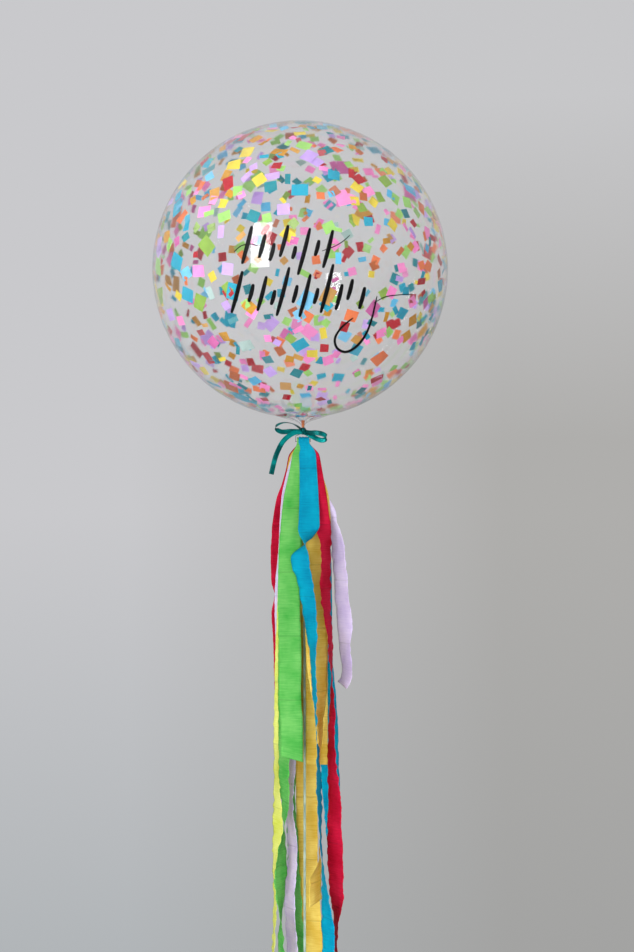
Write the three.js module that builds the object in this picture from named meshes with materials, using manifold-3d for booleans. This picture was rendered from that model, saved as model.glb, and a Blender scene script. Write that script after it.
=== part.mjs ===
// A clear confetti balloon, moored by its string, with a tassel of folded crepe streamers under a ribbon bow.
// Millimetres. The origin is the tie under the neck, +Z is up and -Y is the front.

import * as THREE from 'three';
import { mergeVertices } from 'three/addons/utils/BufferGeometryUtils.js';
import Module from 'manifold-3d';

const wasm = await Module();
wasm.setup();

// Balloon
const balloonDiameter = 600;
const balloonGap = 27; // tie to the bottom of the balloon's round part
const balloonLean = 1.05; // degrees, towards -X
const neckRadius = 4;
const neckEnd = -3; // the gathered end, inside the knot
const funnelRadius = 62; // where the sphere starts to draw in to the neck
const neckPleats = 12;
const pleatDepth = 2.5;
const balloonSides = 48;
const balloonRows = 20;

// Bow
const ribbonWidth = 10;
const ribbonThickness = 0.8;
const knotHalfWidth = 7;
const knotHalfDepth = 8.5;
const knotHalfHeight = 7.5;
const knotClearance = 0.5; // round the neck

// Streamers
const stripWidth = 44.5;
const stripThickness = 0.6;
const stripGap = 0.4; // between strips where they are packed over the hanger
const gatheredWidth = 22; // of a strip where it is folded over the hanger
const shoulderWidth = 34;
const shoulderDrop = 30;
const shoulderEnd = 50; // down to here a strip opens from its gathers to its shoulder width
const fullDrop = 250; // below this a strip has opened to its full width
const foldTop = 12; // tie to the top of the outermost fold
const packedDrop = 110; // down to here the strips lie flat on each other
const lanesDrop = 230; // from here each tail hangs in its own lane

// Hanger: the ribbon's triangular loop that carries the folds
const hangerWidth = 8;
const hangerCorner = 3; // how far its corners are cut
const foldShift = 3; // the furthest that a fold sits off the middle
const hangerClearance = 0.6;

// Mooring string
const stringWidth = 5;
const stringThickness = 0.5;
const stringOffset = 3.5; // from the tie, along X
const stringEnd = 1130; // below the tie, where its end knot sits
const stringKnot = 4; // radius of that knot
const stringTail = 30; // cut end below the knot
const touchGap = 0.3;

// Each tail is a list of stations: [drop below the tie, place along X in strip widths, turn in degrees].
// Turn 0 faces the front and 90 is edge-on. A lane is the tail's place along Y, in strip widths.
// The strips are listed from the innermost fold to the outermost. A fold's shift is along X, in millimetres.
const strips = [
  {
    name: 'streamer_lemon', colour: 0xd9df62, shift: 0,
    front: { lane: 0.17, hang: [[77, -0.13, 0], [108, -0.29, 0], [140, -0.4, 0], [201, -0.5, 0],
      [289, -0.62, 0], [468, -0.79, -8], [600, -0.92, -35], [663, -1.17, -70], [732, -1.19, -72],
      [801, -1.15, -63], [893, -1.24, -72], [1060, -1.33, -82], [1184, -1.3, -86]] },
    back: { lane: 0.54, hang: [[140, 0.18, 0], [250, 0.27, 25], [400, 0.36, 58], [616, 0.37, 63]] },
  },
  {
    name: 'streamer_lilac', colour: 0xcbb8e0, shift: 2,
    front: { lane: -0.04, hang: [[77, 0.4, 0], [108, 0.52, 0], [140, 0.79, 0], [158, 1, -8], [185, 1.24, -50],
      [234, 1.61, -51], [311, 1.74, -52], [384, 1.87, -48], [437, 1.92, -63], [492, 2.06, -63],
      [517, 1.84, -67]] },
    back: { lane: 0.58, hang: [[92, -0.38, 0], [140, -0.56, 0], [234, -0.63, 0], [344, -0.81, 0],
      [480, -0.74, 0], [661, -0.7, -45], [767, -0.63, -65], [860, -0.52, -64], [962, -0.61, -62],
      [1060, -0.47, -60], [1250, -0.56, -40]] },
  },
  {
    name: 'streamer_gold_a', colour: 0xd9b74a, shift: foldShift,
    front: { lane: -0.24, hang: [[77, 0.4, 0], [140, 0.76, 0], [179, 0.79, 0], [300, 0.38, 0],
      [344, 0.31, 0], [407, 0.63, 0], [677, 0.63, 0]] },
    back: { lane: 1.12, hang: [[60, -0.27, 0], [140, -0.45, 0], [300, -0.58, 0], [590, -0.61, 0]] },
  },
  {
    name: 'streamer_gold_b', colour: 0xcfae3e, shift: 0,
    front: { lane: -0.82, hang: [[140, 0.48, 0], [250, 0.55, 0], [400, 0.6, 0], [600, 0.76, 75],
      [677, 0.77, 87], [862, 0.77, 87], [905, 0.61, 57], [952, 0.6, 57]] },
    back: { lane: 1.25, hang: [[140, 0.13, 0], [300, 0.22, 0], [677, 0.16, 0], [811, 0.18, -10],
      [893, 0.22, -25], [997, 0.34, -15], [1060, 0.53, -20], [1223, 0.63, -5]] },
  },
  {
    name: 'streamer_red', colour: 0xc8163a, shift: 1,
    front: { lane: -1.03, hang: [[47, 0.35, 0], [77, 0.47, 0], [140, 0.67, 0], [175, 0.74, 5],
      [205, 0.93, 50], [250, 1.01, 63], [311, 1.06, 62], [358, 1.12, 71], [407, 1.21, 77],
      [484, 1.24, 90], [549, 1.3, 103], [649, 1.3, 111], [751, 1.39, 123], [842, 1.48, 133],
      [930, 1.53, 128], [997, 1.46, 100], [1130, 1.57, 98]] },
    back: { lane: 1.32, hang: [[53, -0.29, 0], [77, -0.38, 0], [108, -0.56, 0], [140, -0.79, 0],
      [201, -0.96, 0], [262, -1.01, 0], [311, -0.97, 0], [338, -0.83, 0], [374, -0.97, 0],
      [430, -0.9, 0], [680, -0.74, 0]] },
  },
  {
    name: 'streamer_green_b', colour: 0x4fae4e, shift: 0,
    front: { lane: -0.8, hang: [[77, -0.13, 0], [140, -0.42, 0], [300, -0.58, -8], [547, -0.74, -35],
      [663, -0.84, -60], [732, -0.84, -66], [799, -0.88, -90], [893, -0.97, -122], [962, -0.99, -104],
      [1031, -1, -73], [1150, -1.03, -100]] },
    back: { lane: 1.5, hang: [[140, -0.22, 0], [300, -0.31, 0], [600, -0.6, 0], [690, -0.8, 0],
      [742, -0.77, -38], [791, -0.6, -58], [893, -0.42, -58], [1060, -0.22, -58], [1200, -0.16, -55]] },
  },
  {
    name: 'streamer_green_a', colour: 0x62cb58, shift: -1,
    front: { lane: -1.3, hang: [[77, -0.2, 0], [140, -0.45, 0], [201, -0.54, -6], [327, -0.63, 8],
      [468, -0.56, 0], [523, -0.58, 0], [600, -0.49, 0], [659, -0.49, 0]] },
    back: { lane: 1.62, hang: [[140, -0.13, 0], [590, -0.22, 0]] },
  },
  {
    name: 'streamer_blue', colour: 0x00a5d9, shift: 2,
    front: { lane: -1.85, hang: [[40, 0.2, 0], [179, 0.29, 0], [228, 0.11, 90], [254, -0.11, 144],
      [311, 0.18, 132], [384, 0.36, 123], [460, 0.45, 108], [596, 0.62, 90], [722, 0.71, 77],
      [842, 0.87, 88], [962, 1.05, 117], [1005, 1.1, 124], [1100, 1.28, 112]] },
    back: { lane: 1.8, hang: [[77, 0.31, 0], [140, 0.58, 0], [300, 0.83, 0], [460, 0.86, 0],
      [547, 1.03, 10], [665, 1.24, 30], [751, 1.3, 36], [850, 1.44, 48]] },
  },
];
const upperStep = 14; // step of all the tails down to where they hang in their lanes
const stepDrop = 42; // longest step below that
const stepTurn = 24; // largest turn in one step
const foldSteps = 6;

const balloonRise = balloonDiameter / 2 + balloonGap; // tie to the centre of the balloon
const stripPitch = stripThickness + stripGap;
const innerFold = hangerWidth / 2 + 1;
const foldCentre = -foldTop - innerFold - stripPitch * (strips.length - 1); // height of the folds' centre
const hangerHalfSpan = gatheredWidth / 2 + foldShift + hangerClearance;
const hangerBar = foldCentre + innerFold / 2 - stripThickness - hangerClearance; // middle of the bar

const group = new THREE.Group();
group.name = 'confetti_balloon';

function addPart(name, geometry, colour, roughness = 0.8) {
  const material = new THREE.MeshStandardMaterial({ color: colour, roughness, metalness: 0 });
  const mesh = new THREE.Mesh(geometry, material);
  mesh.name = name;
  group.add(mesh);
  return mesh;
}

const toRadians = THREE.MathUtils.degToRad;
const smooth = THREE.MathUtils.smoothstep;

// A closed flat band through sections of { centre, across, normal, width }. Its two broad faces are split along
// the same diagonal, so that they stay parallel where the band twists.
function band(sections, thickness) {
  const positions = [];
  const corners = [[-1, -1], [1, -1], [1, 1], [-1, 1]];
  for (const { centre, across, normal, width } of sections) {
    for (const [side, face] of corners) {
      const corner = centre.clone()
        .addScaledVector(across, side * width / 2)
        .addScaledVector(normal, face * thickness / 2);
      positions.push(corner.x, corner.y, corner.z);
    }
  }
  const index = [];
  const last = (sections.length - 1) * 4;
  for (let i = 0; i < sections.length - 1; i += 1) {
    for (let k = 0; k < 4; k += 1) {
      const a = i * 4 + k;
      const b = i * 4 + (k + 1) % 4;
      if (k === 2) index.push(a, b, a + 4, b, b + 4, a + 4);
      else index.push(a, b, b + 4, a, b + 4, a + 4);
    }
  }
  index.push(0, 2, 1, 0, 3, 2);
  index.push(last, last + 1, last + 2, last, last + 2, last + 3);
  const geometry = new THREE.BufferGeometry();
  geometry.setAttribute('position', new THREE.Float32BufferAttribute(positions, 3));
  geometry.setIndex(index);
  return geometry;
}

function toSolid(geometry) {
  const bare = geometry.clone();
  for (const name of Object.keys(bare.attributes)) {
    if (name !== 'position') bare.deleteAttribute(name);
  }
  const merged = mergeVertices(bare, 1e-4);
  const mesh = new wasm.Mesh({
    numProp: 3,
    vertProperties: new Float32Array(merged.attributes.position.array),
    triVerts: new Uint32Array(merged.index.array),
  });
  return new wasm.Manifold(mesh);
}

function fromSolid(solid) {
  const mesh = solid.getMesh();
  const geometry = new THREE.BufferGeometry();
  geometry.setAttribute('position', new THREE.Float32BufferAttribute(mesh.vertProperties, 3));
  geometry.setIndex(Array.from(mesh.triVerts));
  return geometry;
}

// The balloon's outline from the neck's end to the top: a gathered neck, a funnel and a sphere.
function balloonProfile() {
  const radius = balloonDiameter / 2;
  const start = Math.asin(funnelRadius / radius);
  const seam = new THREE.Vector2(funnelRadius, balloonRise - radius * Math.cos(start));
  const neckTop = seam.y * 0.35;
  const funnel = new THREE.QuadraticBezierCurve(
    new THREE.Vector2(neckRadius, neckTop),
    new THREE.Vector2(neckRadius * 1.6, seam.y - seam.x * Math.tan(start) * 0.8),
    seam,
  );
  const points = [new THREE.Vector2(0, neckEnd), new THREE.Vector2(neckRadius, neckEnd)];
  points.push(...funnel.getPoints(6));
  for (let i = 1; i <= balloonRows; i += 1) {
    const angle = start + (Math.PI - start) * i / balloonRows;
    points.push(new THREE.Vector2(radius * Math.sin(angle), balloonRise - radius * Math.cos(angle)));
  }
  points[points.length - 1].x = 0;
  return points;
}

// The funnel's film is gathered in pleats that fade out towards the sphere.
function pleatFunnel(geometry) {
  const position = geometry.attributes.position;
  for (let i = 0; i < position.count; i += 1) {
    const x = position.getX(i);
    const y = position.getY(i);
    const z = position.getZ(i);
    const reach = Math.hypot(x, y);
    const inFunnel = z < balloonRise / 2 && reach < funnelRadius * 0.98 && reach > neckRadius * 1.05;
    if (inFunnel) {
      const fade = Math.sin(Math.PI * reach / funnelRadius);
      position.setZ(i, z + pleatDepth * fade * Math.cos(neckPleats * Math.atan2(y, x)));
    }
  }
}

function makeBalloon() {
  const lathe = new THREE.LatheGeometry(balloonProfile(), balloonSides);
  lathe.rotateX(Math.PI / 2);
  pleatFunnel(lathe);
  const balloon = addPart('balloon', fromSolid(toSolid(lathe)), 0xdfe4e6, 0.1);
  balloon.rotation.y = -toRadians(balloonLean);
}

// A ribbon along points of [x, y, z, tip]. Tip is the angle of the ribbon's width from Y towards Z.
function ribbon(points, width) {
  const curve = new THREE.CatmullRomCurve3(points.map(([x, y, z]) => new THREE.Vector3(x, y, z)));
  const steps = (points.length - 1) * 3;
  const sections = [];
  for (let i = 0; i <= steps; i += 1) {
    const share = i / steps;
    const at = share * (points.length - 1);
    const from = Math.min(Math.floor(at), points.length - 2);
    const tip = toRadians(THREE.MathUtils.lerp(points[from][3], points[from + 1][3], at - from));
    const tangent = curve.getTangent(share);
    const across = new THREE.Vector3(0, Math.cos(tip), Math.sin(tip));
    across.addScaledVector(tangent, -across.dot(tangent)).normalize();
    const normal = new THREE.Vector3().crossVectors(tangent, across);
    sections.push({ centre: curve.getPoint(share), across, normal, width });
  }
  return toSolid(band(sections, ribbonThickness));
}

// The hanger runs from the knot down one side, along the bar inside the folds, and up the other side.
function hanger() {
  const shoulder = -foldTop + hangerCorner;
  const leftSide = [
    [-1, -knotHalfHeight * 0.6],
    [-hangerHalfSpan + hangerCorner * 0.8, shoulder + hangerCorner * 0.2],
    [-hangerHalfSpan, shoulder - hangerCorner * 0.5],
    [-hangerHalfSpan, hangerBar + hangerCorner * 0.5],
    [-hangerHalfSpan + hangerCorner * 0.5, hangerBar],
  ];
  const rightSide = leftSide.map(([x, z]) => [-x, z]).reverse();
  const path = [...leftSide, ...rightSide];
  const across = new THREE.Vector3(0, 1, 0);
  const sections = path.map(([x, z], i) => {
    const before = path[Math.max(i - 1, 0)];
    const after = path[Math.min(i + 1, path.length - 1)];
    const tangent = new THREE.Vector3(after[0] - before[0], 0, after[1] - before[1]).normalize();
    const normal = new THREE.Vector3().crossVectors(tangent, across);
    return { centre: new THREE.Vector3(x, 0, z), across, normal, width: hangerWidth };
  });
  return toSolid(band(sections, ribbonThickness));
}

function makeBow() {
  const knot = new THREE.SphereGeometry(1, 16, 10);
  knot.scale(knotHalfWidth, knotHalfDepth, knotHalfHeight);
  const leftLoop = [[-2, -4, 1, 40], [-9, -8, 8, 30], [-22, -11, 15, 10], [-38, -13, 17, 15],
    [-52, -14, 12, 35], [-54, -15, 4, 55], [-43, -15, -2, 75], [-25, -12, -1, 80], [-2, -5, -1, 60]];
  const rightLoop = [[3, -4, -2, 80], [13, -13, -4, 80], [26, -19, -4, 82], [38, -21, -6, 80],
    [47, -18, -11, 75], [46, -14, -17, 75], [37, -12, -19, 78], [24, -10, -14, 78], [12, -9, -7, 80], [4, -5, -3, 80]];
  const tail = [[-2, -6, -2, 70], [-14, -12, -3, 75], [-25, -16, -8, 80], [-38, -19, -19, 85],
    [-47, -21, -33, 90], [-56, -22, -55, 90], [-64, -22, -88, 90]];
  const boreLength = balloonGap * 1.5;
  const boreRadius = neckRadius + knotClearance;
  const bore = new THREE.CylinderGeometry(boreRadius, boreRadius, boreLength, 16);
  bore.rotateX(Math.PI / 2);
  bore.translate(0, 0, boreLength / 2 + neckEnd - knotClearance);
  const solid = toSolid(knot)
    .add(ribbon(leftLoop, ribbonWidth))
    .add(ribbon(rightLoop, ribbonWidth))
    .add(ribbon(tail, ribbonWidth))
    .add(hanger())
    .subtract(toSolid(bore));
  addPart('bow', fromSolid(solid), 0x00514f, 0.35);
}

// A smooth value along stations, which never swings past the stations' own values.
function along(stations, drop, column) {
  const last = stations.length - 1;
  let i = 0;
  while (i < last - 1 && drop > stations[i + 1][0]) i += 1;
  const rate = (k) => (stations[k + 1][column] - stations[k][column]) / (stations[k + 1][0] - stations[k][0]);
  const slope = (k) => {
    const before = rate(Math.max(k - 1, 0));
    const after = rate(Math.min(k, last - 1));
    return before * after > 0 ? 2 * before * after / (before + after) : 0;
  };
  const [from, to] = [stations[i], stations[i + 1]];
  const length = to[0] - from[0];
  const s = THREE.MathUtils.clamp((drop - from[0]) / length, 0, 1);
  const rise = to[column] - from[column];
  const bend = s * (1 - s) * ((1 - s) * (slope(i) * length - rise) - s * (slope(i + 1) * length - rise));
  return from[column] + s * rise + bend;
}

function openWidth(drop) {
  const shoulder = smooth(drop, -foldCentre, shoulderEnd) * (shoulderWidth - gatheredWidth);
  const full = smooth(drop, shoulderDrop, fullDrop) * (stripWidth - shoulderWidth);
  return gatheredWidth + shoulder + full;
}

// Drops at which a tail is cut into steps. Packed strips share them, so that they lie flat on each other,
// and below that a tail has more of them where it turns.
function stepsAlong(stations) {
  const drops = [];
  const upperCount = Math.ceil((lanesDrop - stations[0][0]) / upperStep);
  for (let k = 0; k <= upperCount; k += 1) {
    drops.push(THREE.MathUtils.lerp(stations[0][0], lanesDrop, k / upperCount));
  }
  for (let i = 1; i < stations.length; i += 1) {
    const [from, to] = [stations[i - 1], stations[i]];
    const start = Math.max(from[0], lanesDrop);
    const length = to[0] - start;
    const turned = Math.abs(to[2] - from[2]) * length / (to[0] - from[0]);
    const count = Math.max(Math.ceil(length / stepDrop), Math.ceil(turned / stepTurn));
    for (let k = 1; k <= count; k += 1) drops.push(start + length * k / count);
  }
  return drops;
}

// One tail from the fold down. Side is -1 for the front and 1 for the back.
function tailSections(tail, side, foldRadius, shift) {
  const stations = [[-foldCentre, shift / stripWidth, 0], ...tail.hang];
  return stepsAlong(stations).map((drop) => {
    const turn = toRadians(along(stations, drop, 2));
    const apart = smooth(drop, packedDrop, lanesDrop);
    const lane = THREE.MathUtils.lerp(side * foldRadius, tail.lane * stripWidth, apart);
    return {
      centre: new THREE.Vector3(along(stations, drop, 1) * stripWidth, lane, -drop),
      across: new THREE.Vector3(Math.cos(turn), Math.sin(turn), 0),
      normal: new THREE.Vector3(side * Math.sin(turn), -side * Math.cos(turn), 0),
      width: openWidth(drop),
    };
  });
}

function makeStrip({ name, colour, shift, front, back }, place) {
  const foldRadius = innerFold + stripPitch * place;
  const frontSections = tailSections(front, -1, foldRadius, shift).reverse();
  const backSections = tailSections(back, 1, foldRadius, shift);
  const foldSections = [];
  for (let i = 1; i < foldSteps; i += 1) {
    const angle = Math.PI * i / foldSteps;
    const outward = new THREE.Vector3(0, -Math.cos(angle), Math.sin(angle));
    foldSections.push({
      centre: new THREE.Vector3(shift, 0, foldCentre).addScaledVector(outward, foldRadius),
      across: new THREE.Vector3(1, 0, 0),
      normal: outward.clone().negate(),
      width: gatheredWidth,
    });
  }
  const sections = [...frontSections, ...foldSections, ...backSections];
  addPart(name, band(sections, stripThickness), colour);
}

function makeString() {
  const top = hangerBar - ribbonThickness / 2 - touchGap;
  const section = new THREE.Shape();
  const half = stringWidth / 2;
  const flat = stringThickness / 2;
  const corner = flat * 0.6;
  section.moveTo(-half + corner, -flat);
  section.lineTo(half - corner, -flat);
  section.lineTo(half, -flat + corner);
  section.lineTo(half, flat - corner);
  section.lineTo(half - corner, flat);
  section.lineTo(-half + corner, flat);
  section.lineTo(-half, flat - corner);
  section.lineTo(-half, -flat + corner);
  const length = top + stringEnd + stringTail;
  const run = new THREE.ExtrudeGeometry(section, { depth: length, steps: 12, bevelEnabled: false });
  run.translate(stringOffset, 0, -stringEnd - stringTail);
  const knot = new THREE.SphereGeometry(stringKnot, 8, 6);
  knot.rotateX(Math.PI / 2);
  knot.translate(stringOffset, 0, -stringEnd);
  addPart('string', fromSolid(toSolid(run).add(toSolid(knot))), 0x92a8a6, 0.5);
}

makeBalloon();
makeBow();
strips.forEach(makeStrip);
makeString();

export default group;
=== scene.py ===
# %% [markdown]
# A clear confetti balloon
#
# The object is a round clear balloon, 600 mm across, with tissue confetti inside. Its neck is gathered and
# tied with a satin ribbon bow. From the tie hang eight folded crepe paper streamers and the flat ribbon
# that moors the balloon. The CAD model is the frame: it fixes where each piece is and how large it is. Each
# cell below makes the looks of one piece around it, in metres, with +Z up and the front towards -Y.

# %% Load the frame
import math

import bmesh
import bpy
from mathutils import Matrix, Vector, noise


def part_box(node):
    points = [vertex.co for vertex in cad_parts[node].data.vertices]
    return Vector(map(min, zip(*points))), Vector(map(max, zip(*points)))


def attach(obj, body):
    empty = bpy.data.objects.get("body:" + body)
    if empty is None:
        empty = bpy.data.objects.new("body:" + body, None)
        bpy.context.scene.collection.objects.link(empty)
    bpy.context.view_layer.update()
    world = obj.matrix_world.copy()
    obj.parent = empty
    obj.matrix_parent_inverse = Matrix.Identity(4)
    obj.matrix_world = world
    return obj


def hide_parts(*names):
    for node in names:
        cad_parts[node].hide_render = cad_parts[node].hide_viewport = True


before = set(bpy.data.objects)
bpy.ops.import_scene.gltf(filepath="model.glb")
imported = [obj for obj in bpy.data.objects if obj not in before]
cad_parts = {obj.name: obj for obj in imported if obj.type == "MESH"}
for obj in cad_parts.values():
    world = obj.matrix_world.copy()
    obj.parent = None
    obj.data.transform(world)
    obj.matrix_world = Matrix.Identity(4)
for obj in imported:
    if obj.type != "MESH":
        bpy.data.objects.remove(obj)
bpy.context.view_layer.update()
MM = 0.001
print("nodes in the frame:", len(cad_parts))

# %% [markdown]
# The camera comes first, because the photograph is the measure for all that follows. It stands level,
# straight in front, with a 70 mm lens on a frame whose long side is the picture's height. A point of the
# photograph is then a ray, and the brush strokes on the skin are placed by where such rays meet it.

# %% Camera
PHOTO_WIDTH, PHOTO_HEIGHT = 634, 952
LENS = 70
LONG_SIDE = 36
CAMERA_PLACE = Vector((0.0285, -3.765, -0.0915))
PIXELS_PER_SLOPE = LENS / LONG_SIDE * PHOTO_HEIGHT


def link_object(name, data):
    made = bpy.data.objects.new(name, data)
    bpy.context.scene.collection.objects.link(made)
    return made


def photo_ray(across, down):
    """The direction in which the camera sees a pixel of the photograph, one metre deep."""
    return Vector((
        (across - PHOTO_WIDTH / 2) / PIXELS_PER_SLOPE,
        1,
        (PHOTO_HEIGHT / 2 - down) / PIXELS_PER_SLOPE,
    ))


camera_data = bpy.data.cameras.new("camera")
camera_data.lens = LENS
camera_data.sensor_width = LONG_SIDE
camera = link_object("camera", camera_data)
camera.location = CAMERA_PLACE
camera.rotation_euler = (math.radians(90), 0, 0)
bpy.context.scene.camera = camera
print("one pixel at the tie is", round(-CAMERA_PLACE.y / PIXELS_PER_SLOPE / MM, 2), "mm")

# %% [markdown]
# Helpers for meshes. Ribbons, strings and paper are all bands: rows of points across, one row after another
# along the piece. A band remembers for each point how far across and how far along it lies, as an attribute
# named run. The weave and the crinkles read that attribute, so that they follow the piece wherever it
# turns. The balloon's skin and the knots are shells: rings of points between two poles.

# %% Bands and shells
def link_mesh(name, points, faces):
    mesh = bpy.data.meshes.new(name)
    mesh.from_pydata([tuple(p) for p in points], [], faces)
    mesh.polygons.foreach_set("use_smooth", [True] * len(mesh.polygons))
    mesh.update()
    return link_object(name, mesh)


def evenly(count):
    """Even steps across a band, from -1 at one edge to 1 at the other."""
    return [2 * k / (count - 1) - 1 for k in range(count)]


def band_faces(rows, columns, start=0):
    corners = [start + i * columns + k for i in range(rows - 1) for k in range(columns - 1)]
    return [(a, a + 1, a + columns + 1, a + columns) for a in corners]


def shell_faces(rings, sides):
    """A closed shell of a pole point, rings of points from below upwards, and a pole point on top."""
    faces, last = [], 1 + rings * sides
    for k in range(sides):
        after = (k + 1) % sides
        faces.append((0, 1 + after, 1 + k))
        for row in range(1, last - sides, sides):
            faces.append((row + k, row + after, row + sides + after, row + sides + k))
        faces.append((last - sides + k, last - sides + after, last))
    return faces


def note_run(piece, run):
    """run holds (across, along, number of the piece) for each point, in metres."""
    layer = piece.data.attributes.new("run", "FLOAT_VECTOR", "POINT")
    layer.data.foreach_set("vector", [value for place in run for value in place])


def give_thickness(piece, thickness, offset=0):
    wall = piece.modifiers.new("thickness", "SOLIDIFY")
    wall.thickness = thickness
    wall.offset = offset


def mix(low, high, share):
    return low + (high - low) * share


def smooth_share(value, low, high):
    share = min(max((value - low) / (high - low), 0), 1)
    return share * share * (3 - 2 * share)


# %% [markdown]
# Colours are written as they look in the photograph, in hexadecimal sRGB, and turned into the linear values
# that the shaders expect.

# %% Colours and nodes
def paint(code):
    channels = [int(code[i:i + 2], 16) / 255 for i in (1, 3, 5)]
    linear = [c / 12.92 if c <= 0.04045 else ((c + 0.055) / 1.055) ** 2.4 for c in channels]
    return (*linear, 1)


def node(tree, kind, inputs=None, **settings):
    """A new node with its settings, and with inputs set to values or linked to other nodes' outputs."""
    made = tree.nodes.new(kind)
    for key, value in settings.items():
        setattr(made, key, value)
    for key, value in (inputs or {}).items():
        if isinstance(value, bpy.types.NodeSocket):
            tree.links.new(value, made.inputs[key])
        else:
            made.inputs[key].default_value = value
    return made


def new_group(name, kind, inputs, outputs):
    """An empty node group with named sockets, and its input and output nodes."""
    group = bpy.data.node_groups.new(name, kind)
    for label, socket, default in inputs:
        made = group.interface.new_socket(label, in_out="INPUT", socket_type=socket)
        if default is not None:
            made.default_value = default
    for label, socket in outputs:
        group.interface.new_socket(label, in_out="OUTPUT", socket_type=socket)
    return group, group.nodes.new("NodeGroupInput").outputs, group.nodes.new("NodeGroupOutput")


def give_results(group, result, **values):
    for label, value in values.items():
        group.links.new(value, result.inputs[label])


def new_material(name):
    material = bpy.data.materials.new(name)
    material.use_nodes = True
    material.node_tree.nodes.clear()
    return material, material.node_tree


# %% Sums and patterns in nodes
def maths(tree, operation, first, second=0.0):
    return node(tree, "ShaderNodeMath", {0: first, 1: second}, operation=operation).outputs[0]


def times(tree, first, second):
    return maths(tree, "MULTIPLY", first, second)


def blend(tree, first, first_weight, second, second_weight):
    return maths(tree, "ADD", times(tree, first, first_weight), times(tree, second, second_weight))


def vector_maths(tree, operation, first, second=(0, 0, 0)):
    """Gives a vector, or a value where a length or a distance is asked for."""
    made = node(tree, "ShaderNodeVectorMath", {0: first, 1: second}, operation=operation)
    return made.outputs["Value" if operation in ("LENGTH", "DISTANCE") else "Vector"]


def scaled(tree, vector, factors):
    return vector_maths(tree, "MULTIPLY", vector, factors)


def combined(tree, x=0.0, y=0.0, z=0.0):
    return node(tree, "ShaderNodeCombineXYZ", {"X": x, "Y": y, "Z": z}).outputs[0]


def parted(tree, vector):
    return node(tree, "ShaderNodeSeparateXYZ", {0: vector}).outputs


def ramp(tree, factor, low, high, to_low=0.0, to_high=1.0):
    return node(tree, "ShaderNodeMapRange", {0: factor, 1: low, 2: high, 3: to_low, 4: to_high}).outputs[0]


def mixed_colour(tree, factor, first, second):
    return node(tree, "ShaderNodeMix", {0: factor, 6: first, 7: second}, data_type="RGBA").outputs[2]


def noise_texture(tree, place, scale, detail, roughness=0.5):
    inputs = {"Vector": place, "Scale": scale, "Detail": detail, "Roughness": roughness}
    return node(tree, "ShaderNodeTexNoise", inputs).outputs[0]


def bumped(tree, height, strength, distance):
    inputs = {"Height": height, "Strength": strength, "Distance": distance}
    return node(tree, "ShaderNodeBump", inputs).outputs[0]


def attribute(tree, name, output):
    return node(tree, "ShaderNodeAttribute", attribute_name=name).outputs[output]


def object_place(tree):
    return node(tree, "ShaderNodeTexCoord").outputs["Object"]


def show(tree, shader):
    node(tree, "ShaderNodeOutputMaterial", {"Surface": shader.outputs[0]})


# %% [markdown]
# The mooring string is a flat ribbon, 5 mm wide, of a grey-green that is duller than the bow. It leaves the
# bow's hanger inside the folds of the paper and runs straight down the middle of the tail, taut, to a small
# knot. It is a mesh. It could be an extruded curve, but a band whose points are given one by one can have
# the slight twist that makes a ribbon catch the light unevenly.

# %% String route
STRING_WIDTH = 5 * MM
STRING_THICKNESS = 0.5 * MM
STRING_OFFSET = 3.5 * MM
STRING_END = 1130 * MM
STRING_TAIL = 30 * MM
STRING_KNOT = 4 * MM
string_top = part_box("string")[1].z
string_bottom = -STRING_END - STRING_TAIL
string_length = string_top - string_bottom
print("string length, mm:", round(string_length / MM))

# %% String band and knots
STRING_COLUMNS = 5
STRING_ROWS = 240
STRING_SWAY = math.radians(14)
SWAYS_PER_METRE = 6
STRING_CUP = 0.25 * MM


def string_band():
    points, run = [], []
    for i in range(STRING_ROWS):
        down = i / (STRING_ROWS - 1) * string_length
        turn = STRING_SWAY * noise.noise(Vector((down * SWAYS_PER_METRE, 0, 0)))
        for side in evenly(STRING_COLUMNS):
            across = side * STRING_WIDTH / 2
            points.append((
                STRING_OFFSET + across * math.cos(turn),
                across * math.sin(turn) - (1 - side * side) * STRING_CUP,
                string_top - down,
            ))
            run.append((across, down, 0))
    return points, run


def knot_mesh(name, surface, size, rings, sides, number):
    """A closed ball of rings. surface gives a point from its polar angle and its angle around."""
    rows = [math.pi * (1 - i / rings) for i in range(1, rings)]
    angles = [(polar, 2 * math.pi * k / sides) for polar in rows for k in range(sides)]
    angles = [(math.pi, 0), *angles, (0, 0)]
    piece = link_mesh(name, [surface(*pair) for pair in angles], shell_faces(rings - 1, sides))
    note_run(piece, [(around * size, polar * size, number) for polar, around in angles])
    return piece


def string_knot(polar, around):
    """The ribbon passes round itself twice, so the knot's surface has two slanting rolls."""
    reach = STRING_KNOT * math.sin(polar) * (1 + 0.1 * math.cos(2 * around + 5 * polar))
    return Vector((
        STRING_OFFSET + reach * math.cos(around),
        0.8 * reach * math.sin(around),
        -STRING_END + STRING_KNOT * 1.1 * math.cos(polar),
    ))


# %% String mesh
string_points, string_run = string_band()
string_faces = band_faces(STRING_ROWS, STRING_COLUMNS)
mooring_string = link_mesh("mooring_string", string_points, string_faces)
note_run(mooring_string, string_run)
give_thickness(mooring_string, STRING_THICKNESS)
end_knot = knot_mesh("string_end_knot", string_knot, STRING_KNOT, rings=12, sides=16, number=9)
print("string faces:", len(string_faces) + len(end_knot.data.polygons))
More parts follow.
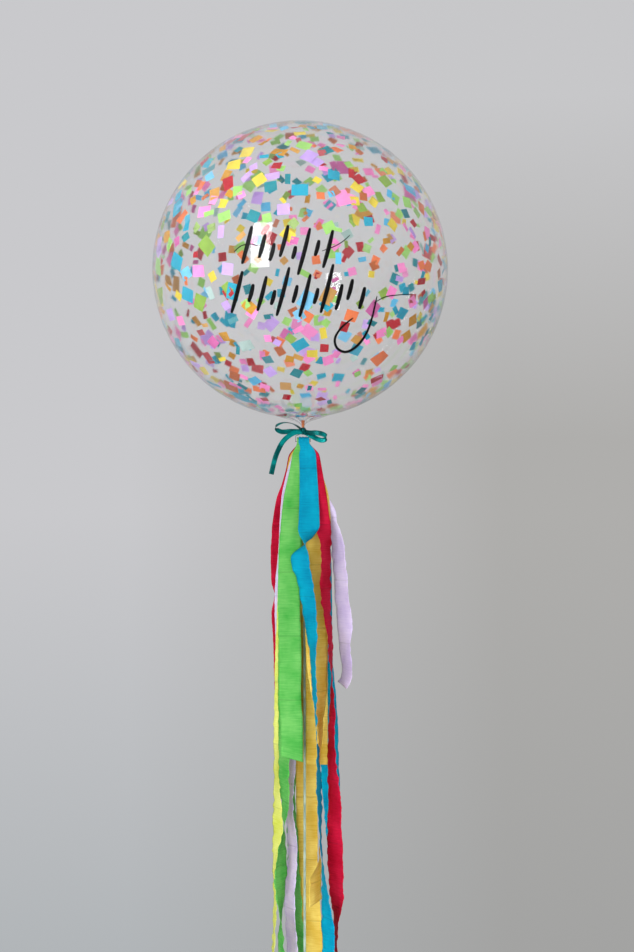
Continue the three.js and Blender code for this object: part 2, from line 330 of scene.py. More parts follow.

# %% [markdown]
# Satin is woven so that long threads float on top along the ribbon. A shared node group gives the fine
# threads as a height, and a tone from 0 to 1 that mixes the ribbon's colour: soft streaks in it are a painted
# sheen, and long patches along the ribbon a painted change from shade to highlight, as satin shows where it
# curves.
# The bow and the string both use it, each with its own colours.

# %% Satin threads and painted sheen
def make_satin_threads_and_sheen():
    sockets = [("Place", "NodeSocketVector", None), ("Threads", "NodeSocketFloat", 2200.0)]
    outputs = [("Height", "NodeSocketFloat"), ("Tone", "NodeSocketFloat")]
    group, given, result = new_group("satin_threads_and_sheen", "ShaderNodeTree", sockets, outputs)
    stretch = combined(group, given["Threads"], 60.0, 1.0)
    threads = noise_texture(group, scaled(group, given["Place"], stretch), 1.0, 2.0)
    streaks = noise_texture(group, scaled(group, given["Place"], (500.0, 24.0, 1.0)), 1.0, 1.0)
    painted_bend_shade = noise_texture(group, scaled(group, given["Place"], (8.0, 34.0, 1.7)), 1.0, 1.0)
    # The streaks are a painted sheen, and the long patches painted shade and highlight.
    tone = blend(group, ramp(group, streaks, 0.3, 0.7), 0.35, ramp(group, painted_bend_shade, 0.45, 0.62), 0.65)
    give_results(group, result, Height=threads, Tone=tone)
    return group


satin_threads_and_sheen = make_satin_threads_and_sheen()


def satin(name, dark, light, shine, roughness):
    material, tree = new_material(name)
    place = attribute(tree, "run", "Vector")
    threads = node(tree, "ShaderNodeGroup", {"Place": place}, node_tree=satin_threads_and_sheen).outputs
    # The tone mixes the dark and the light colour, which paints the satin's sheen, shade and highlight.
    show(tree, node(tree, "ShaderNodeBsdfPrincipled", {
        "Base Color": mixed_colour(tree, threads["Tone"], paint(dark), paint(light)),
        "Roughness": ramp(tree, threads["Tone"], 0.0, 1.0, roughness + 0.06, roughness - 0.06),
        "Normal": bumped(tree, threads["Height"], 0.35, 0.0002),
        "Specular IOR Level": 0.7, "Specular Tint": paint(shine), "Anisotropic": 0.6,
    }))
    return material


# The string's darker colour is painted shade, and its lighter one painted sheen.
string_satin = satin("string_satin", "#7c9188", "#a2b4aa", "#b4c4bc", roughness=0.45)
for piece in (mooring_string, end_knot):
    piece.data.materials.append(string_satin)

# %% [markdown]
# The balloon's skin is one clear film. It could be a sphere primitive, but the real one has a funnel that
# draws in to the neck, with pleats where the film is gathered. So it is turned on its axis from a profile,
# as on a lathe, and the funnel's rings are then pleated. The whole is leaned a little to the left, about
# the tie, as in the photograph.

# %% Balloon sizes
balloon_low, balloon_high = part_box("balloon")
BALLOON_RADIUS = 300 * MM
NECK_RADIUS = 4 * MM
FUNNEL_RADIUS = 62 * MM
NECK_END = balloon_low.z
BALLOON_RISE = 327 * MM
lean = math.atan2(-(balloon_low.x + balloon_high.x) / 2, balloon_high.z - BALLOON_RADIUS)
lean_turn = Matrix.Rotation(-lean, 4, "Y")
balloon_centre = lean_turn @ Vector((0, 0, BALLOON_RISE))
print("lean, degrees:", round(math.degrees(lean), 2), "centre, mm:", [round(v / MM) for v in balloon_centre])

# %% Skin profile and pleats
SKIN_SIDES = 192
SKIN_ROWS = 96
FUNNEL_ROWS = 26
FUNNEL_START = 0.35
PULL_RADIUS = NECK_RADIUS * 1.6
PULL_DROP = 0.8
FILM_THICKNESS = 0.3 * MM
NECK_ROUNDING = 0.3 * MM
NECK_PLEATS = 12
PLEAT_DEPTH = 2.2 * MM
FINE_PLEATS = 30
FINE_DEPTH = 0.5 * MM
FINE_REACH = FUNNEL_RADIUS * 2.2


def skin_profile():
    """(radius, height) from the neck's end up to the top, without the points on the axis."""
    start = math.asin(FUNNEL_RADIUS / BALLOON_RADIUS)
    seam = Vector((FUNNEL_RADIUS, BALLOON_RISE - BALLOON_RADIUS * math.cos(start)))
    neck = Vector((NECK_RADIUS, seam.y * FUNNEL_START))
    pull = Vector((PULL_RADIUS, seam.y - seam.x * math.tan(start) * PULL_DROP))
    profile = [(NECK_RADIUS * 0.5, NECK_END), (NECK_RADIUS, NECK_END + NECK_ROUNDING), (NECK_RADIUS, 0)]
    for i in range(FUNNEL_ROWS):
        t = i / FUNNEL_ROWS
        point = neck * (1 - t) ** 2 + pull * 2 * t * (1 - t) + seam * t * t
        profile.append((point.x, point.y))
    for i in range(SKIN_ROWS):
        angle = start + (math.pi - start) * i / SKIN_ROWS
        profile.append((BALLOON_RADIUS * math.sin(angle), BALLOON_RISE - BALLOON_RADIUS * math.cos(angle)))
    return profile


def pleat(radius, around):
    """How far a pleat lifts the film. Wide folds fade out at the funnel's rim, and fine ones further up."""
    wide = PLEAT_DEPTH * math.sin(math.pi * min(radius / FUNNEL_RADIUS, 1)) * math.cos(NECK_PLEATS * around)
    fade = math.sin(math.pi * min(radius / FINE_REACH, 1)) ** 2
    uneven = 0.5 + 0.5 * noise.noise(Vector((3 * math.cos(around), 3 * math.sin(around), 5)))
    return wide + FINE_DEPTH * fade * uneven * math.cos(FINE_PLEATS * around)


# %% Skin mesh
def make_skin():
    points, profile = [Vector((0, 0, NECK_END))], skin_profile()
    for radius, height in profile:
        pleated = height < BALLOON_RISE and radius > NECK_RADIUS * 1.05
        for k in range(SKIN_SIDES):
            around = 2 * math.pi * k / SKIN_SIDES
            lift = pleat(radius, around) if pleated else 0
            points.append(Vector((radius * math.cos(around), radius * math.sin(around), height + lift)))
    points.append(Vector((0, 0, BALLOON_RISE + BALLOON_RADIUS)))
    return link_mesh("clear_skin", [lean_turn @ p for p in points], shell_faces(len(profile), SKIN_SIDES))


clear_skin = make_skin()
give_thickness(clear_skin, FILM_THICKNESS, -1)
print("skin faces:", len(clear_skin.data.polygons))

# %% [markdown]
# Clear film shows what is behind it and mirrors the lamps. The shader is plain transmission with the index
# of the plastic, and a trace of plain white is left in it, because the real film is a little milky. As the
# film has two surfaces 0.3 mm apart, nothing is bent as in a glass ball. Lamps have to reach the confetti
# inside, so for shadow rays the film is simply transparent. Film that was stretched has faint streaks from
# the neck to the top, which roughen it in places and give the pale scratches near the rim.

# %% Film material
FILM_INDEX = 1.37
FILM_CLEARNESS = 0.995


def make_film():
    material, tree = new_material("clear_film")
    mapping = {"Vector": object_place(tree), "Location": -balloon_centre}
    centred = node(tree, "ShaderNodeMapping", mapping).outputs[0]
    streaks = noise_texture(tree, scaled(tree, centred, (26.0, 26.0, 3.5)), 3.0, 5.0, 0.7)
    patches = noise_texture(tree, centred, 6.0, 2.0)
    worn = times(tree, ramp(tree, streaks, 0.56, 0.76), ramp(tree, patches, 0.45, 0.65))
    glass = node(tree, "ShaderNodeBsdfPrincipled", {
        "Base Color": (1, 1, 1, 1), "IOR": FILM_INDEX, "Transmission Weight": FILM_CLEARNESS,
        "Roughness": ramp(tree, worn, 0.0, 1.0, 0.0, 0.12),
        "Normal": bumped(tree, streaks, 0.1, 0.0005),
    })
    through = node(tree, "ShaderNodeBsdfTransparent")
    path = node(tree, "ShaderNodeLightPath")
    show(tree, node(tree, "ShaderNodeMixShader", {
        0: path.outputs["Is Shadow Ray"], 1: glass.outputs[0], 2: through.outputs[0]}))
    return material


clear_skin.data.materials.append(make_film())

# %% [markdown]
# Thin papers share one look: light comes through them a little, and their fibres make the colour cloudy.
# Tissue has fine crumples that point every way. Crepe has ridges that run across the strip, because it is
# scraped off a drum, and straight creases where the roll was folded. One node group makes both, as a height
# and a tone, and each paper gives it its own stretch, which is how many ridges fall on a metre across and
# along. The tone is partly the fibres' cloudiness and partly the ridges' own height, which paints light and
# shade on the ridges.

# %% Paper crinkles
CREASE_SHIFT = 0.37


def make_crinkles():
    sockets = [
        ("Place", "NodeSocketVector", None), ("Stretch", "NodeSocketVector", (60.0, 700.0, 1.0)),
        ("Crease Spacing", "NodeSocketFloat", 0.128), ("Crease Depth", "NodeSocketFloat", 1.0),
    ]
    outputs = [(label, "NodeSocketFloat") for label in ("Height", "Tone", "Crease")]
    group, given, result = new_group("paper_crinkles", "ShaderNodeTree", sockets, outputs)
    fine_place = scaled(group, given["Place"], given["Stretch"])
    fine = noise_texture(group, fine_place, 1.0, 4.0, 0.6)
    broad = noise_texture(group, fine_place, 0.22, 2.0)
    clouds = noise_texture(group, scaled(group, given["Place"], (22.0, 18.0, 3.0)), 1.0, 3.0)
    _, along, number = parted(group, given["Place"])
    creases_along = maths(group, "DIVIDE", along, given["Crease Spacing"])
    shifted = maths(group, "ADD", creases_along, times(group, number, CREASE_SHIFT))
    from_crease = maths(group, "PINGPONG", shifted, 0.5)
    crease = times(group, ramp(group, from_crease, 0.0, 0.012, 1.0, 0.0), given["Crease Depth"])
    ridges = blend(group, fine, 0.6, broad, 0.6)
    height = maths(group, "SUBTRACT", ridges, times(group, crease, 0.8))
    # The tone follows the fine ridges in part, which paints light and shade on them; the rest is cloudy fibre
    # tone.
    tone = blend(group, ramp(group, fine, 0.35, 0.65), 0.4, ramp(group, clouds, 0.35, 0.65), 0.6)
    give_results(group, result, Height=height, Tone=tone, Crease=crease)
    return group


paper_crinkles = make_crinkles()


def show_paper(tree, colour, crinkles, see_through, roughness, bump_depth):
    """Principled paper with some light coming through from its other side."""
    normal = bumped(tree, crinkles["Height"], 0.7, bump_depth)
    front = node(tree, "ShaderNodeBsdfPrincipled", {
        "Base Color": colour, "Normal": normal, "Specular IOR Level": 0.12,
        "Roughness": ramp(tree, crinkles["Tone"], 0.0, 1.0, roughness + 0.08, roughness - 0.08),
    })
    behind = node(tree, "ShaderNodeBsdfTranslucent", {"Color": colour, "Normal": normal})
    show(tree, node(tree, "ShaderNodeMixShader", {0: see_through, 1: front.outputs[0], 2: behind.outputs[0]}))


# %% [markdown]
# Confetti is what repeats most here, so Geometry Nodes scatter it: hundreds of cut tissue squares, oblongs,
# folded pieces and a few large scraps, held by static against the inside of the film. Points are spread
# over an inner sphere, fewer where the photograph has a gap, and each gets one of the cuts, turned and
# tilted at random with a fixed seed. Pieces that would poke through are pressed on to the film, which is
# just what static does.

# %% Confetti sizes
CONFETTI_PER_SQUARE_METRE = 920.0
CONFETTI_SIDE = 20.5 * MM
CONFETTI_SMALLEST, CONFETTI_LARGEST = 0.7, 1.2
CONFETTI_TILT = math.radians(14)
CONFETTI_THICKNESS = 0.12 * MM
CONFETTI_CLEARANCE = 1.0 * MM
CONFETTI_DEPTH = 0.6 * MM
CONFETTI_SEED, SIZE_SEED, TINT_SEED, FADE_SEED = 11, 3, 5, 6
# Width and length in sides, then the bend in 1/m.
CONFETTI_CUTS = (
    (1.0, 1.0, 3.0), (1.0, 0.95, -2.0), (0.9, 1.0, 9.0), (1.15, 0.6, 3.0), (1.0, 0.5, -8.0), (0.8, 0.8, 26.0),
    (1.5, 1.2, 5.0),
)
# Two papers are darker copies of others, as painted shade: a dull yellow-green of the lime, and a brownish
# orange of the orange.
CONFETTI_PAPERS = (
    ("turquoise", "#00b4d0", 15), ("sky", "#66cdf0", 6), ("teal", "#0098a4", 6), ("lime", "#aee27c", 13),
    ("lime_in_shade", "#98be4c", 5), ("orange", "#f28a4e", 6), ("orange_in_shade", "#cc7034", 4), ("gold", "#daa21c", 8),
    ("yellow", "#eedc46", 9), ("pink", "#ffa2de", 11), ("orchid", "#dc74b8", 4), ("lilac", "#d6b6f2", 9),
    ("crimson", "#c40424", 10), ("mint", "#bcd8d2", 4),
)


# %% Thin places, by their pixel in the photograph
def on_balloon(across, down, radius):
    """Where the ray through a pixel first meets a sphere about the balloon's centre."""
    ray = photo_ray(across, down).normalized()
    to_centre = balloon_centre - CAMERA_PLACE
    nearest = to_centre.dot(ray)
    miss = to_centre.length_squared - nearest * nearest
    return CAMERA_PLACE + ray * (nearest - math.sqrt(max(radius * radius - miss, 0)))


# Pixel across and down, reach in metres, and the share of the confetti that is left there.
THIN_PLACES = ((345, 255, 0.15, 0.25), (352, 392, 0.17, 0.2), (225, 345, 0.1, 0.5))

# %% [markdown]
# The scatter tree is built from small parts. The first says how much confetti falls on each square metre.
# The next makes one cut of tissue, closed as a thin plate. The last ones turn a piece on the film, give it
# a number that picks its paper, and press it on to the film.

# %% How much confetti
def point_place(tree):
    return node(tree, "GeometryNodeInputPosition").outputs[0]


def crowd(tree, given):
    """Confetti for each square metre: in loose clusters, and fewer in the thin places."""
    from_centre = vector_maths(tree, "SUBTRACT", point_place(tree), given["Centre"])
    cluster = ramp(tree, noise_texture(tree, from_centre, 7.0, 1.0), 0.3, 0.7, 0.35, 1.65)
    density = times(tree, cluster, given["Per Square Metre"])
    for across, down, reach, left in THIN_PLACES:
        middle = on_balloon(across, down, BALLOON_RADIUS) - balloon_centre
        away = vector_maths(tree, "DISTANCE", from_centre, tuple(middle))
        density = times(tree, density, ramp(tree, away, reach * 0.3, reach, left, 1.0))
    return density


# %% One cut of tissue
def one_cut(tree, given, width, length, bend):
    """A flat grid, bent by the square of a point's way along a slant, then closed as a thin plate."""
    grid = node(tree, "GeometryNodeMeshGrid", {
        "Size X": times(tree, given["Side"], width), "Size Y": times(tree, given["Side"], length),
        "Vertices X": 4, "Vertices Y": 3})
    x, y, _ = parted(tree, point_place(tree))
    slant = blend(tree, x, 1.0, y, 0.5)
    lift = times(tree, times(tree, slant, slant), bend)
    offset = combined(tree, z=lift)
    bent = node(tree, "GeometryNodeSetPosition", {"Geometry": grid.outputs[0], "Offset": offset})
    raised = node(tree, "GeometryNodeExtrudeMesh", {
        "Mesh": bent.outputs[0], "Offset Scale": given["Thickness"], "Individual": False})
    under = node(tree, "GeometryNodeFlipFaces", {"Mesh": bent.outputs[0]})
    plate = tree.nodes.new("GeometryNodeJoinGeometry")
    for half in (raised, under):
        tree.links.new(half.outputs[0], plate.inputs[0])
    closed = node(tree, "GeometryNodeMergeByDistance", {"Geometry": plate.outputs[0], "Distance": 1e-6})
    return node(tree, "GeometryNodeGeometryToInstance", {0: closed.outputs[0]}).outputs[0]


# %% Turn, tint and press
def turned(tree, given, rotation):
    """Any turn about the film's normal, and a tilt off the film within the limit."""
    least = times(tree, given["Tilt"], -1.0)
    angles = node(tree, "FunctionNodeRandomValue", {
        0: combined(tree, least, least), 1: combined(tree, given["Tilt"], given["Tilt"], 2 * math.pi),
        "Seed": given["Seed"]}, data_type="FLOAT_VECTOR")
    turn = node(tree, "FunctionNodeEulerToRotation", {0: angles.outputs[0]})
    return node(tree, "FunctionNodeRotateRotation", {
        "Rotation": rotation, "Rotate By": turn.outputs[0]}, rotation_space="LOCAL").outputs[0]


def store_random(tree, geometry, name, seed):
    value = node(tree, "FunctionNodeRandomValue", {"Seed": seed}, data_type="FLOAT").outputs[1]
    return node(tree, "GeometryNodeStoreNamedAttribute", {
        "Geometry": geometry, "Name": name, "Value": value}, data_type="FLOAT", domain="INSTANCE").outputs[0]


def press_on_film(tree, given, geometry):
    """Points past the inside of the film are pulled back to it, along the line to the centre."""
    out = vector_maths(tree, "SUBTRACT", point_place(tree), given["Centre"])
    reach = vector_maths(tree, "LENGTH", out)
    kept = maths(tree, "DIVIDE", maths(tree, "MINIMUM", reach, given["Reach"]), reach)
    back = vector_maths(tree, "ADD", scaled(tree, out, kept), given["Centre"])
    return node(tree, "GeometryNodeSetPosition", {"Geometry": geometry, "Position": back}).outputs[0]


# %% Confetti scatter tree
def make_scatter():
    sockets = [
        ("Geometry", "NodeSocketGeometry", None),
        ("Per Square Metre", "NodeSocketFloat", CONFETTI_PER_SQUARE_METRE),
        ("Side", "NodeSocketFloat", CONFETTI_SIDE),
        ("Tilt", "NodeSocketFloat", CONFETTI_TILT),
        ("Thickness", "NodeSocketFloat", CONFETTI_THICKNESS),
        ("Centre", "NodeSocketVector", tuple(balloon_centre)),
        ("Reach", "NodeSocketFloat", BALLOON_RADIUS - CONFETTI_CLEARANCE),
        ("Paper", "NodeSocketMaterial", None),
        ("Seed", "NodeSocketInt", CONFETTI_SEED),
    ]
    outputs = [("Geometry", "NodeSocketGeometry")]
    tree, given, result = new_group("scatter_confetti", "GeometryNodeTree", sockets, outputs)
    spread = node(tree, "GeometryNodeDistributePointsOnFaces", {
        "Mesh": given["Geometry"], "Density": crowd(tree, given), "Seed": given["Seed"]}).outputs
    cuts = tree.nodes.new("GeometryNodeJoinGeometry")
    for cut in CONFETTI_CUTS:
        tree.links.new(one_cut(tree, given, *cut), cuts.inputs[0])
    grow = node(tree, "FunctionNodeRandomValue", {
        2: CONFETTI_SMALLEST, 3: CONFETTI_LARGEST, "Seed": SIZE_SEED}, data_type="FLOAT")
    placed = node(tree, "GeometryNodeInstanceOnPoints", {
        "Points": spread["Points"], "Instance": cuts.outputs[0], "Pick Instance": True,
        "Rotation": turned(tree, given, spread["Rotation"]), "Scale": grow.outputs[1]}).outputs[0]
    tinted = store_random(tree, placed, "tint", TINT_SEED)
    faded = store_random(tree, tinted, "fade", FADE_SEED)
    whole = node(tree, "GeometryNodeRealizeInstances", {"Geometry": faded}).outputs[0]
    pressed = press_on_film(tree, given, whole)
    painted = node(tree, "GeometryNodeSetMaterial", {"Geometry": pressed, "Material": given["Paper"]})
    give_results(tree, result, Geometry=painted.outputs[0])
    return tree


# %% [markdown]
# One material paints all the confetti. Each piece carries two numbers. Its tint picks one of the papers,
# each as often as the photograph shows it, and its fade makes a few pieces paler. Tissue is thin, so nearly
# half of the light comes through it, and a piece with light behind it is as bright as one in front of it.

# %% Tissue material
TISSUE_CRUMPLES = (170.0, 170.0, 170.0)


def make_tissue():
    material, tree = new_material("tissue_paper")
    papers = node(tree, "ShaderNodeValToRGB", {0: attribute(tree, "tint", "Fac")})
    papers.color_ramp.interpolation = "CONSTANT"
    total, before = sum(share for _, _, share in CONFETTI_PAPERS), 0
    stops = papers.color_ramp.elements
    for i, (_, code, share) in enumerate(CONFETTI_PAPERS):
        stop = stops[i] if i < 2 else stops.new(before / total)
        stop.position = before / total
        stop.color = paint(code)
        before += share
    crinkles = node(tree, "ShaderNodeGroup", {
        "Place": object_place(tree), "Stretch": TISSUE_CRUMPLES, "Crease Depth": 0.0,
    }, node_tree=paper_crinkles).outputs
    fade = ramp(tree, attribute(tree, "fade", "Fac"), 0.7, 1.0, 0.0, 0.18)
    pale = mixed_colour(tree, fade, papers.outputs[0], paint("#e6e2e4"))
    shade = times(tree, ramp(tree, crinkles["Tone"], 0.2, 0.8), 0.1)
    colour = mixed_colour(tree, shade, pale, paint("#5b5058"))
    show_paper(tree, colour, crinkles, see_through=0.42, roughness=0.6, bump_depth=0.0006)
    return material


# %% Confetti mesh
def make_carrier(name, radius):
    """A ball of even triangles that carries the scattered points."""
    mesh = bpy.data.meshes.new(name)
    ball = bmesh.new()
    bmesh.ops.create_icosphere(ball, subdivisions=4, radius=radius, matrix=Matrix.Translation(balloon_centre))
    ball.to_mesh(mesh)
    ball.free()
    return link_object(name, mesh)


def bake_nodes(piece, tree, values):
    """Runs a Geometry Nodes tree on a piece and keeps the result as its plain mesh."""
    modifier = piece.modifiers.new(tree.name, "NODES")
    modifier.node_group = tree
    for item in tree.interface.items_tree:
        if item.in_out == "INPUT" and item.name in values:
            modifier[item.identifier] = values[item.name]
    bpy.context.view_layer.update()
    evaluated = piece.evaluated_get(bpy.context.evaluated_depsgraph_get())
    made = bpy.data.meshes.new_from_object(evaluated)
    piece.modifiers.remove(modifier)
    piece.data = made
    made.name = piece.name


confetti = make_carrier("confetti", BALLOON_RADIUS - CONFETTI_CLEARANCE - CONFETTI_DEPTH)
tissue_paper = make_tissue()
bake_nodes(confetti, make_scatter(), {"Paper": tissue_paper, "Seed": CONFETTI_SEED})
print("confetti faces:", len(confetti.data.polygons))

# %% [markdown]
# Just above the knot the photograph shows a bit of brownish orange tissue, which slid down inside the neck.
# It is a crumpled scrap, rolled up in the neck, of the confetti's orange paper with its painted shade.

# %% Scrap at the neck
SCRAP_LOW = 5
SCRAP_HIGH = 22
SCRAP_TURN = math.radians(290)
SCRAP_RADIUS = 2.5
SCRAP_CRUMPLE = 0.3
SCRAP_RAGGED = 3
SCRAP_ROWS = 9
SCRAP_COLUMNS = 44


def paper_tint(name):
    """The tint that picks a paper of this name."""
    names = [paper[0] for paper in CONFETTI_PAPERS]
    shares = [paper[2] for paper in CONFETTI_PAPERS]
    at = names.index(name)
    return (sum(shares[:at]) + shares[at] / 2) / sum(shares)


def make_scrap():
    points = []
    for i in range(SCRAP_ROWS):
        share = i / (SCRAP_ROWS - 1)
        for side in evenly(SCRAP_COLUMNS):
            around = side * SCRAP_TURN / 2
            crumple = noise.noise(Vector((around * 4, share * 3, 2)))
            crumple += 0.3 * math.sin(11 * around + 2 * share)
            radius = SCRAP_RADIUS + share * share + SCRAP_CRUMPLE * crumple
            ragged_edge = SCRAP_RAGGED * share * noise.noise(Vector((around * 3, 0, 5)))
            height = mix(SCRAP_LOW, SCRAP_HIGH, share) + ragged_edge
            points.append(Vector((radius * math.sin(around), -radius * math.cos(around), height)) * MM)
    piece = link_mesh("neck_scrap", points, band_faces(SCRAP_ROWS, SCRAP_COLUMNS))
    # The scrap takes the brownish orange, the orange paper with painted shade.
    for name, value in (("tint", paper_tint("orange_in_shade")), ("fade", 0.0)):
        layer = piece.data.attributes.new(name, "FLOAT", "POINT")
        layer.data.foreach_set("value", [value] * len(points))
    piece.data.materials.append(tissue_paper)
    give_thickness(piece, CONFETTI_THICKNESS, 1)
    return piece


neck_scrap = make_scrap()
print("scrap faces:", len(neck_scrap.data.polygons))

# %% [markdown]
# On the front of the real balloon something is printed in black, as if with a brush. Here two rows of loose
# brush strokes stand in its place: slanted dabs, a few hairlines and one large loop, in no writing. Each
# stroke is a band that follows the sphere a hair above the film. Its width swells and tapers as a brush is
# pressed and lifted. It could be a texture, but a raised stroke keeps its crisp edge in the mesh.

# %% Brush stroke shapes
INK_HEIGHT = 0.25 * MM
INK_THICKNESS = 0.15 * MM
STROKE_STEPS = 28
STROKE_COLUMNS = 4
STROKE_SWELL = 0.45
# Width in pixels of the photograph, and the share of it that is left at the ends.
DAB_BRUSH, HAIRLINE_BRUSH, LOOP_BRUSH = (4.3, 0.35), (1.0, 0.5), (4.3 * 0.62, 0.25)
DAB_SLANT = 0.13
DAB_BEND = 0.4
# Pixels of the photograph: across, top and bottom of each dab.
UPPER_DABS = (
    (247, 226, 264), (262, 234, 258), (272, 243, 261), (284, 225, 257), (294, 246, 259), (304, 228, 275),
    (317, 240, 256), (328, 230, 268),
)
LOWER_DABS = (
    (237, 271, 313), (251, 284, 302), (262, 276, 311), (273, 290, 305), (283, 267, 316), (295, 285, 303),
    (305, 274, 317), (316, 288, 304), (327, 264, 313), (339, 284, 310), (350, 279, 300), (362, 287, 309),
)
HAIRLINES = (
    ((322, 251), (333, 247), (342, 242), (350, 235)),
    ((374, 303), (385, 297), (398, 295), (412, 294)),
    ((234, 252), (241, 246), (250, 244), (258, 246)),
)
LOOP = (
    (377, 296), (372, 318), (366, 334), (357, 346), (346, 352), (337, 348), (335, 338), (342, 327),
    (353, 318),
)


# %% Brush along a curve
def spline_point(points, share):
    """A point on a smooth curve through the points. Each point may have any number of values."""
    at = min(max(share, 0), 1) * (len(points) - 1)
    i = min(int(at), len(points) - 2)
    t = at - i
    p = [points[min(max(i + k, 0), len(points) - 1)] for k in (-1, 0, 1, 2)]
    return [
        0.5 * (2 * b + (c - a) * t + (2 * a - 5 * b + 4 * c - d) * t * t + (3 * b - 3 * c + d - a) * t ** 3)
        for a, b, c, d in zip(*p)
    ]


def brush_stroke(route, brush, points, faces):
    """Adds one stroke along pixels of the photograph."""
    start, radius = len(points), BALLOON_RADIUS + INK_HEIGHT
    width, thin_end = brush
    for i in range(STROKE_STEPS):
        share = i / (STROKE_STEPS - 1)
        here, after = spline_point(route, share), spline_point(route, share + 0.02)
        before = spline_point(route, share - 0.02)
        along = Vector((after[0] - before[0], after[1] - before[1])).normalized()
        half = width * mix(thin_end, 1, math.sin(math.pi * share) ** STROKE_SWELL) / 2
        for side in evenly(STROKE_COLUMNS):
            step = along * side * half
            points.append(on_balloon(here[0] - step.y, here[1] + step.x, radius))
    faces.extend(band_faces(STROKE_STEPS, STROKE_COLUMNS, start))


def dab_route(across, top, bottom):
    """A slanted dab, its foot a little to the left of its head."""
    slant = (bottom - top) * DAB_SLANT
    return ((across + slant, top), (across + DAB_BEND, (top + bottom) / 2), (across - slant, bottom))


# %% Brush stroke mesh
def make_strokes():
    points, faces = [], []
    for dab in UPPER_DABS + LOWER_DABS:
        brush_stroke(dab_route(*dab), DAB_BRUSH, points, faces)
    for route in HAIRLINES:
        brush_stroke(route, HAIRLINE_BRUSH, points, faces)
    brush_stroke(LOOP, LOOP_BRUSH, points, faces)
    return link_mesh("brush_strokes", points, faces)


def make_ink():
    material, tree = new_material("black_print")
    drag = noise_texture(tree, object_place(tree), 420.0, 3.0)
    show(tree, node(tree, "ShaderNodeBsdfPrincipled", {
        "Base Color": mixed_colour(tree, ramp(tree, drag, 0.4, 0.7), paint("#020203"), paint("#0b0b0d")),
        "Roughness": ramp(tree, drag, 0.3, 0.7, 0.35, 0.55),
        "Normal": bumped(tree, drag, 0.2, 0.0001),
        "Specular IOR Level": 0.15,
    }))
    return material


brush_strokes = make_strokes()
brush_strokes.data.materials.append(make_ink())
give_thickness(brush_strokes, INK_THICKNESS, 1)
print("brush stroke faces:", len(brush_strokes.data.polygons))

# %% [markdown]
# The bow is one length of satin ribbon, 10 mm wide. Two loops and one long tail leave the knot, and a
# further loop hangs below it and carries the paper's folds. Each run of ribbon is a band along a smooth
# curve, and its width is tipped by an angle at each point, so that the loops open and turn as stiff satin
# does. The knot is the ribbon wrapped over itself, so it is a small barrel with slanting grooves.

# %% Bow shapes
RIBBON_WIDTH = 10
RIBBON_THICKNESS = 0.5 * MM
RIBBON_COLUMNS = 7
RIBBON_STEPS = 18
RIBBON_CUP = 0.45
# Places of the ribbon's middle in millimetres, and how far its width is tipped up from the depth, in degrees.
LEFT_LOOP = (
    (-2, -4, 1, 40), (-9, -8, 8, 30), (-22, -11, 15, 10), (-38, -13, 17, 15), (-52, -14, 12, 35),
    (-54, -15, 4, 55), (-43, -15, -2, 75), (-25, -12, -1, 80), (-2, -5, -1, 60),
)
RIGHT_LOOP = (
    (3, -4, -2, 80), (13, -13, -4, 80), (26, -19, -4, 82), (38, -21, -6, 80), (47, -18, -11, 75),
    (46, -14, -17, 75), (37, -12, -19, 78), (24, -10, -14, 78), (12, -9, -7, 80), (4, -5, -3, 80),
)
LONG_TAIL = (
    (-2, -6, -2, 70), (-14, -12, -3, 75), (-25, -16, -8, 80), (-38, -19, -19, 85), (-47, -21, -33, 90),
    (-56, -22, -55, 90), (-64, -22, -88, 90),
)
KNOT_HALF = (7, 8.5, 7.5)
FOLD_TOP = 12
HANGER_WIDTH = 8
HANGER_HALF_SPAN = 14.6
HANGER_BAR = -21.6
HANGER_CORNER = 3


# %% Ribbon, hanger and knot
def ribbon_run(route, width, points, run, faces, number):
    """Adds a band of ribbon along (x, y, z, tip) points in millimetres, cupped a little across."""
    rows = (len(route) - 1) * RIBBON_STEPS + 1
    start, along, last = len(points), 0, Vector(route[0][:3])
    for i in range(rows):
        share = i / (rows - 1)
        *here, tip = spline_point(route, share)
        after, before = spline_point(route, share + 0.01)[:3], spline_point(route, share - 0.01)[:3]
        here, tangent = Vector(here), (Vector(after) - Vector(before)).normalized()
        tip = math.radians(tip)
        across = Vector((0, math.cos(tip), math.sin(tip)))
        across = (across - tangent * across.dot(tangent)).normalized()
        normal = tangent.cross(across)
        along += (here - last).length
        last = here
        for side in evenly(RIBBON_COLUMNS):
            cup = RIBBON_CUP * (side * side - 0.5)
            points.append((here + across * side * width / 2 + normal * cup) * MM)
            run.append((side * width / 2 * MM, along * MM, number))
    faces.extend(band_faces(rows, RIBBON_COLUMNS, start))


def hanger_route():
    """Down from the knot, along the bar inside the folds and up again, lying in the plane of the front."""
    shoulder, half_corner = -FOLD_TOP + HANGER_CORNER, HANGER_CORNER * 0.5
    left = [
        (-1, 0, -KNOT_HALF[2] * 0.6, 0),
        (-HANGER_HALF_SPAN + HANGER_CORNER * 0.8, 0, shoulder, 0),
        (-HANGER_HALF_SPAN, 0, shoulder - half_corner, 0),
        (-HANGER_HALF_SPAN, 0, HANGER_BAR + half_corner, 0),
        (-HANGER_HALF_SPAN + half_corner, 0, HANGER_BAR, 0),
    ]
    return left + [(-x, y, z, tip) for x, y, z, tip in reversed(left)]


def knot_barrel(polar, around):
    """The wrapped knot: a barrel whose grooves slant between two turns of the ribbon."""
    groove = abs(math.sin(1.5 * around + 2.2 * math.cos(polar)))
    reach = abs(math.sin(polar)) ** 0.75 * (0.86 + 0.14 * groove ** 0.5)
    return Vector((
        KNOT_HALF[0] * reach * math.cos(around),
        KNOT_HALF[1] * reach * math.sin(around),
        KNOT_HALF[2] * math.cos(polar),
    )) * MM


